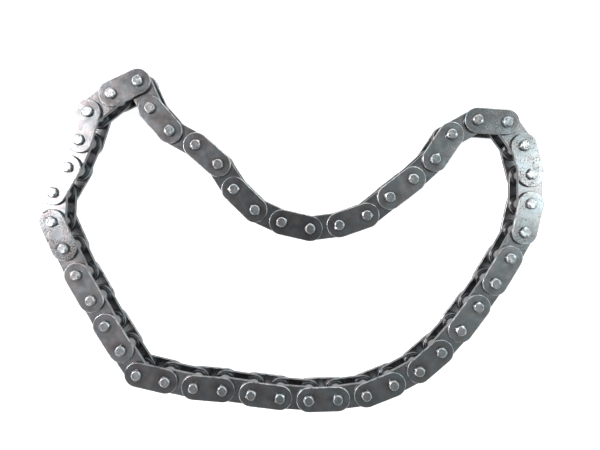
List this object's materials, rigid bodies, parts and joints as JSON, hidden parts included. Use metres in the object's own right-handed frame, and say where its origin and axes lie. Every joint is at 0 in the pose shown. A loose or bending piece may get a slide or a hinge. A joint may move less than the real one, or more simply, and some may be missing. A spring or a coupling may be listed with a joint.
{
  "type": "roller chain",
  "caption": "Closed loop of single-strand riveted roller chain lying on its side, with plates, pins, bushes and rollers jointed at every pivot.",
  "frame": {"origin": "centre of the loop's bounding box at the height of the lower pin ends, where the chain rests", "axes": "+X along the loop's longest extent, +Y across the loop towards the hollow of its upper run, +Z along the pins, up from the surface the loop lies on"},
  "size_m": [0.1638, 0.112, 0.0131],
  "materials": {
    "plate_steel": "blued gun-metal grey, satin, light oil",
    "pin_steel": "bright ground steel, oiled",
    "roller_steel": "dark oiled steel, smooth"
  },
  "bodies": {
    "inner_link_01": {"inner_link_01": "plate_steel"},
    "inner_link_02": {"inner_link_02": "plate_steel"},
    "inner_link_03": {"inner_link_03": "plate_steel"},
    "inner_link_04": {"inner_link_04": "plate_steel"},
    "inner_link_05": {"inner_link_05": "plate_steel"},
    "inner_link_06": {"inner_link_06": "plate_steel"},
    "inner_link_07": {"inner_link_07": "plate_steel"},
    "inner_link_08": {"inner_link_08": "plate_steel"},
    "inner_link_09": {"inner_plate_top_09": "plate_steel", "inner_plate_bottom_09": "plate_steel", "bush_first_09": "roller_steel", "bush_second_09": "roller_steel"},
    "inner_link_10": {"inner_link_10": "plate_steel"},
    "inner_link_11": {"inner_link_11": "plate_steel"},
    "inner_link_12": {"inner_link_12": "plate_steel"},
    "inner_link_13": {"inner_link_13": "plate_steel"},
    "inner_link_14": {"inner_link_14": "plate_steel"},
    "inner_link_15": {"inner_link_15": "plate_steel"},
    "inner_link_16": {"inner_link_16": "plate_steel"},
    "inner_link_17": {"inner_link_17": "plate_steel"},
    "inner_link_18": {"inner_link_18": "plate_steel"},
    "inner_link_19": {"inner_link_19": "plate_steel"},
    "inner_link_20": {"inner_link_20": "plate_steel"},
    "inner_link_21": {"inner_link_21": "plate_steel"},
    "inner_link_22": {"inner_link_22": "plate_steel"},
    "inner_link_23": {"inner_link_23": "plate_steel"},
    "inner_link_24": {"inner_link_24": "plate_steel"},
    "outer_link_01": {"outer_link_01": "plate_steel"},
    "outer_link_02": {"outer_link_02": "plate_steel"},
    "outer_link_03": {"outer_link_03": "plate_steel"},
    "outer_link_04": {"outer_link_04": "plate_steel"},
    "outer_link_05": {"outer_link_05": "plate_steel"},
    "outer_link_06": {"outer_link_06": "plate_steel"},
    "outer_link_07": {"outer_link_07": "plate_steel"},
    "outer_link_08": {"outer_link_08": "plate_steel"},
    "outer_link_09": {"outer_link_09": "plate_steel"},
    "outer_link_10": {"outer_plate_top_10": "plate_steel", "outer_plate_bottom_10": "plate_steel", "pin_first_10": "pin_steel", "pin_second_10": "pin_steel"},
    "outer_link_11": {"outer_link_11": "plate_steel"},
    "outer_link_12": {"outer_link_12": "plate_steel"},
    "outer_link_13": {"outer_link_13": "plate_steel"},
    "outer_link_14": {"outer_link_14": "plate_steel"},
    "outer_link_15": {"outer_link_15": "plate_steel"},
    "outer_link_16": {"outer_link_16": "plate_steel"},
    "outer_link_17": {"outer_link_17": "plate_steel"},
    "outer_link_18": {"outer_link_18": "plate_steel"},
    "outer_link_19": {"outer_link_19": "plate_steel"},
    "outer_link_20": {"outer_link_20": "plate_steel"},
    "outer_link_21": {"outer_link_21": "plate_steel"},
    "outer_link_22": {"outer_link_22": "plate_steel"},
    "outer_link_23": {"outer_link_23": "plate_steel"},
    "outer_link_24": {"outer_link_24": "plate_steel"},
    "roller_first_08": {"roller_first_08": "roller_steel"},
    "roller_first_09": {"roller_first_09": "roller_steel"},
    "roller_first_10": {"roller_first_10": "roller_steel"},
    "roller_second_08": {"roller_second_08": "roller_steel"},
    "roller_second_09": {"roller_second_09": "roller_steel"},
    "roller_second_10": {"roller_second_10": "roller_steel"}
  },
  "joints": [
    {"name": "pivot_19", "type": "hinge", "parent": "inner_link_09", "child": "outer_link_10", "pos_m": [0.00568, -0.05195, 0.00655], "axis": [0, 0, 1], "range_deg": [-38, 38]},
    {"name": "pivot_18", "type": "hinge", "parent": "inner_link_09", "child": "outer_link_09", "pos_m": [-0.00382, -0.05122, 0.00655], "axis": [0, 0, 1], "range_deg": [-38, 28]},
    {"name": "pivot_20", "type": "hinge", "parent": "outer_link_10", "child": "inner_link_10", "pos_m": [0.0152, -0.05164, 0.00655], "axis": [0, 0, 1], "range_deg": [-38, 38]},
    {"name": "pivot_17", "type": "hinge", "parent": "outer_link_09", "child": "inner_link_08", "pos_m": [-0.01327, -0.05003, 0.00655], "axis": [0, 0, 1], "range_deg": [-28, 38]},
    {"name": "pivot_21", "type": "hinge", "parent": "inner_link_10", "child": "outer_link_11", "pos_m": [0.02464, -0.05036, 0.00655], "axis": [0, 0, 1], "range_deg": [-38, 38]},
    {"name": "pivot_16", "type": "hinge", "parent": "inner_link_08", "child": "outer_link_08", "pos_m": [-0.02269, -0.04864, 0.00655], "axis": [0, 0, 1], "range_deg": [-38, 38]},
    {"name": "pivot_22", "type": "hinge", "parent": "outer_link_11", "child": "inner_link_11", "pos_m": [0.03348, -0.04681, 0.00655], "axis": [0, 0, 1], "range_deg": [-38, 38]},
    {"name": "pivot_15", "type": "hinge", "parent": "outer_link_08", "child": "inner_link_07", "pos_m": [-0.03218, -0.04781, 0.00655], "axis": [0, 0, 1], "range_deg": [-38, 38]},
    {"name": "pivot_23", "type": "hinge", "parent": "inner_link_11", "child": "outer_link_12", "pos_m": [0.04188, -0.04232, 0.00655], "axis": [0, 0, 1], "range_deg": [-38, 38]},
    {"name": "pivot_14", "type": "hinge", "parent": "inner_link_07", "child": "outer_link_07", "pos_m": [-0.04148, -0.04576, 0.00655], "axis": [0, 0, 1], "range_deg": [-38, 28]},
    {"name": "pivot_24", "type": "hinge", "parent": "outer_link_12", "child": "inner_link_12", "pos_m": [0.04903, -0.03603, 0.00655], "axis": [0, 0, 1], "range_deg": [-38, 38]},
    {"name": "pivot_13", "type": "hinge", "parent": "outer_link_07", "child": "inner_link_06", "pos_m": [-0.05075, -0.04355, 0.00655], "axis": [0, 0, 1], "range_deg": [-28, 38]},
    {"name": "pivot_25", "type": "hinge", "parent": "inner_link_12", "child": "outer_link_13", "pos_m": [0.0553, -0.02886, 0.00655], "axis": [0, 0, 1], "range_deg": [-38, 38]},
    {"name": "pivot_12", "type": "hinge", "parent": "inner_link_06", "child": "outer_link_06", "pos_m": [-0.05584, -0.0355, 0.00655], "axis": [0, 0, 1], "range_deg": [-38, 38]},
    {"name": "pivot_26", "type": "hinge", "parent": "outer_link_13", "child": "inner_link_13", "pos_m": [0.06095, -0.02119, 0.00655], "axis": [0, 0, 1], "range_deg": [-38, 38]},
    {"name": "pivot_11", "type": "hinge", "parent": "outer_link_06", "child": "inner_link_05", "pos_m": [-0.06086, -0.02741, 0.00655], "axis": [0, 0, 1], "range_deg": [-38, 38]},
    {"name": "pivot_27", "type": "hinge", "parent": "inner_link_13", "child": "outer_link_14", "pos_m": [0.06641, -0.01339, 0.00655], "axis": [0, 0, 1], "range_deg": [-38, 38]},
    {"name": "pivot_10", "type": "hinge", "parent": "inner_link_05", "child": "outer_link_05", "pos_m": [-0.06539, -0.01903, 0.00655], "axis": [0, 0, 1], "range_deg": [-38, 38]},
    {"name": "pivot_28", "type": "hinge", "parent": "outer_link_14", "child": "inner_link_14", "pos_m": [0.07124, -0.00518, 0.00655], "axis": [0, 0, 1], "range_deg": [-38, 38]},
    {"name": "pivot_09", "type": "hinge", "parent": "outer_link_05", "child": "inner_link_04", "pos_m": [-0.07006, -0.01073, 0.00655], "axis": [0, 0, 1], "range_deg": [-38, 38]},
    {"name": "pivot_29", "type": "hinge", "parent": "inner_link_14", "child": "outer_link_15", "pos_m": [0.07582, 0.00318, 0.00655], "axis": [0, 0, 1], "range_deg": [-38, 28]},
    {"name": "pivot_08", "type": "hinge", "parent": "inner_link_04", "child": "outer_link_04", "pos_m": [-0.07402, -0.00207, 0.00655], "axis": [0, 0, 1], "range_deg": [-38, 38]},
    {"name": "pivot_30", "type": "hinge", "parent": "outer_link_15", "child": "inner_link_15", "pos_m": [0.07782, 0.01249, 0.00655], "axis": [0, 0, 1], "range_deg": [-28, 38]},
    {"name": "pivot_07", "type": "hinge", "parent": "outer_link_04", "child": "inner_link_03", "pos_m": [-0.07782, 0.00667, 0.00655], "axis": [0, 0, 1], "range_deg": [-38, 38]},
    {"name": "pivot_31", "type": "hinge", "parent": "inner_link_15", "child": "outer_link_16", "pos_m": [0.07775, 0.02201, 0.00655], "axis": [0, 0, 1], "range_deg": [-38, 38]},
    {"name": "pivot_06", "type": "hinge", "parent": "inner_link_03", "child": "outer_link_03", "pos_m": [-0.07727, 0.01618, 0.00655], "axis": [0, 0, 1], "range_deg": [-38, 28]},
    {"name": "pivot_32", "type": "hinge", "parent": "outer_link_16", "child": "inner_link_16", "pos_m": [0.07532, 0.03122, 0.00655], "axis": [0, 0, 1], "range_deg": [-38, 38]},
    {"name": "pivot_05", "type": "hinge", "parent": "outer_link_03", "child": "inner_link_02", "pos_m": [-0.07239, 0.02436, 0.00655], "axis": [0, 0, 1], "range_deg": [-28, 38]},
    {"name": "pivot_33", "type": "hinge", "parent": "inner_link_16", "child": "outer_link_17", "pos_m": [0.06962, 0.03886, 0.00655], "axis": [0, 0, 1], "range_deg": [-38, 38]},
    {"name": "pivot_04", "type": "hinge", "parent": "inner_link_02", "child": "outer_link_02", "pos_m": [-0.0686, 0.0331, 0.00655], "axis": [0, 0, 1], "range_deg": [-38, 38]},
    {"name": "pivot_34", "type": "hinge", "parent": "outer_link_17", "child": "inner_link_17", "pos_m": [0.06012, 0.0395, 0.00655], "axis": [0, 0, 1], "range_deg": [-38, 38]},
    {"name": "pivot_03", "type": "hinge", "parent": "outer_link_02", "child": "inner_link_01", "pos_m": [-0.06564, 0.04215, 0.00655], "axis": [0, 0, 1], "range_deg": [-38, 38]},
    {"name": "pivot_35", "type": "hinge", "parent": "inner_link_17", "child": "outer_link_18", "pos_m": [0.05178, 0.03489, 0.00655], "axis": [0, 0, 1], "range_deg": [-38, 38]},
    {"name": "pivot_02", "type": "hinge", "parent": "inner_link_01", "child": "outer_link_01", "pos_m": [-0.0581, 0.04797, 0.00655], "axis": [0, 0, 1], "range_deg": [-38, 28]},
    {"name": "pivot_36", "type": "hinge", "parent": "outer_link_18", "child": "inner_link_18", "pos_m": [0.04654, 0.02694, 0.00655], "axis": [0, 0, 1], "range_deg": [-38, 38]},
    {"name": "pivot_01", "type": "hinge", "parent": "outer_link_01", "child": "inner_link_24", "pos_m": [-0.04945, 0.05195, 0.00655], "axis": [0, 0, 1], "range_deg": [-28, 38]},
    {"name": "pivot_37", "type": "hinge", "parent": "inner_link_18", "child": "outer_link_19", "pos_m": [0.03951, 0.02051, 0.00655], "axis": [0, 0, 1], "range_deg": [-38, 38]},
    {"name": "pivot_48", "type": "hinge", "parent": "inner_link_24", "child": "outer_link_24", "pos_m": [-0.04553, 0.04327, 0.00655], "axis": [0, 0, 1], "range_deg": [-38, 38]},
    {"name": "pivot_38", "type": "hinge", "parent": "outer_link_19", "child": "inner_link_19", "pos_m": [0.03197, 0.01469, 0.00655], "axis": [0, 0, 1], "range_deg": [-38, 38]},
    {"name": "pivot_47", "type": "hinge", "parent": "outer_link_24", "child": "inner_link_23", "pos_m": [-0.03929, 0.03607, 0.00655], "axis": [0, 0, 1], "range_deg": [-38, 38]},
    {"name": "pivot_39", "type": "hinge", "parent": "inner_link_19", "child": "outer_link_20", "pos_m": [0.02453, 0.00874, 0.00655], "axis": [0, 0, 1], "range_deg": [-38, 38]},
    {"name": "pivot_46", "type": "hinge", "parent": "inner_link_23", "child": "outer_link_23", "pos_m": [-0.03094, 0.03149, 0.00655], "axis": [0, 0, 1], "range_deg": [-38, 28]},
    {"name": "pivot_40", "type": "hinge", "parent": "outer_link_20", "child": "inner_link_20", "pos_m": [0.01553, 0.00562, 0.00655], "axis": [0, 0, 1], "range_deg": [-38, 38]},
    {"name": "pivot_45", "type": "hinge", "parent": "outer_link_23", "child": "inner_link_22", "pos_m": [-0.02375, 0.02524, 0.00655], "axis": [0, 0, 1], "range_deg": [-28, 38]},
    {"name": "pivot_41", "type": "hinge", "parent": "inner_link_20", "child": "outer_link_21", "pos_m": [0.00609, 0.00441, 0.00655], "axis": [0, 0, 1], "range_deg": [-38, 38]},
    {"name": "pivot_44", "type": "hinge", "parent": "inner_link_22", "child": "outer_link_22", "pos_m": [-0.01862, 0.01722, 0.00655], "axis": [0, 0, 1], "range_deg": [-38, 38]},
    {"name": "pivot_42", "type": "hinge", "parent": "outer_link_21", "child": "inner_link_21", "pos_m": [-0.0032, 0.00654, 0.00655], "axis": [0, 0, 1], "range_deg": [-38, 38]},
    {"name": "roller_first_08_spin", "type": "hinge", "parent": "inner_link_08", "child": "roller_first_08", "pos_m": [-0.02269, -0.04864, 0.00655], "axis": [0, 0, 1], "continuous": true},
    {"name": "roller_second_08_spin", "type": "hinge", "parent": "inner_link_08", "child": "roller_second_08", "pos_m": [-0.01327, -0.05003, 0.00655], "axis": [0, 0, 1], "continuous": true},
    {"name": "roller_first_09_spin", "type": "hinge", "parent": "inner_link_09", "child": "roller_first_09", "pos_m": [-0.00382, -0.05122, 0.00655], "axis": [0, 0, 1], "continuous": true},
    {"name": "roller_second_09_spin", "type": "hinge", "parent": "inner_link_09", "child": "roller_second_09", "pos_m": [0.00568, -0.05195, 0.00655], "axis": [0, 0, 1], "continuous": true},
    {"name": "roller_first_10_spin", "type": "hinge", "parent": "inner_link_10", "child": "roller_first_10", "pos_m": [0.0152, -0.05164, 0.00655], "axis": [0, 0, 1], "continuous": true},
    {"name": "roller_second_10_spin", "type": "hinge", "parent": "inner_link_10", "child": "roller_second_10", "pos_m": [0.02464, -0.05036, 0.00655], "axis": [0, 0, 1], "continuous": true}
  ],
  "couplings": [
    {"joint": "pivot_20", "follows": "pivot_19", "ratio": -1},
    {"joint": "pivot_17", "follows": "pivot_18", "ratio": -1},
    {"joint": "pivot_22", "follows": "pivot_21", "ratio": -1},
    {"joint": "pivot_15", "follows": "pivot_16", "ratio": -1},
    {"joint": "pivot_23", "follows": "pivot_16", "ratio": 1},
    {"joint": "pivot_14", "follows": "pivot_18", "ratio": 1},
    {"joint": "pivot_24", "follows": "pivot_16", "ratio": -1},
    {"joint": "pivot_13", "follows": "pivot_18", "ratio": -1},
    {"joint": "pivot_25", "follows": "pivot_16", "ratio": 1},
    {"joint": "pivot_12", "follows": "pivot_21", "ratio": 1},
    {"joint": "pivot_26", "follows": "pivot_16", "ratio": -1},
    {"joint": "pivot_11", "follows": "pivot_21", "ratio": -1},
    {"joint": "pivot_27", "follows": "pivot_19", "ratio": 1},
    {"joint": "pivot_10", "follows": "pivot_19", "ratio": 1},
    {"joint": "pivot_28", "follows": "pivot_19", "ratio": -1},
    {"joint": "pivot_09", "follows": "pivot_19", "ratio": -1},
    {"joint": "pivot_29", "follows": "pivot_18", "ratio": 1},
    {"joint": "pivot_08", "follows": "pivot_21", "ratio": 1},
    {"joint": "pivot_30", "follows": "pivot_18", "ratio": -1},
    {"joint": "pivot_07", "follows": "pivot_21", "ratio": -1},
    {"joint": "pivot_31", "follows": "pivot_21", "ratio": 1},
    {"joint": "pivot_06", "follows": "pivot_18", "ratio": 1},
    {"joint": "pivot_32", "follows": "pivot_21", "ratio": -1},
    {"joint": "pivot_05", "follows": "pivot_18", "ratio": -1},
    {"joint": "pivot_33", "follows": "pivot_16", "ratio": 1},
    {"joint": "pivot_04", "follows": "pivot_19", "ratio": 1},
    {"joint": "pivot_34", "follows": "pivot_16", "ratio": -1},
    {"joint": "pivot_03", "follows": "pivot_19", "ratio": -1},
    {"joint": "pivot_35", "follows": "pivot_16", "ratio": 1},
    {"joint": "pivot_02", "follows": "pivot_18", "ratio": 1},
    {"joint": "pivot_36", "follows": "pivot_16", "ratio": -1},
    {"joint": "pivot_01", "follows": "pivot_18", "ratio": -1},
    {"joint": "pivot_37", "follows": "pivot_16", "ratio": 1},
    {"joint": "pivot_48", "follows": "pivot_21", "ratio": 1},
    {"joint": "pivot_38", "follows": "pivot_16", "ratio": -1},
    {"joint": "pivot_47", "follows": "pivot_21", "ratio": -1},
    {"joint": "pivot_39", "follows": "pivot_21", "ratio": 1},
    {"joint": "pivot_46", "follows": "pivot_18", "ratio": 1},
    {"joint": "pivot_40", "follows": "pivot_21", "ratio": -1},
    {"joint": "pivot_45", "follows": "pivot_18", "ratio": -1},
    {"joint": "pivot_41", "follows": "pivot_19", "ratio": 1},
    {"joint": "pivot_44", "follows": "pivot_19", "ratio": 1},
    {"joint": "pivot_42", "follows": "pivot_19", "ratio": -1}
  ]
}
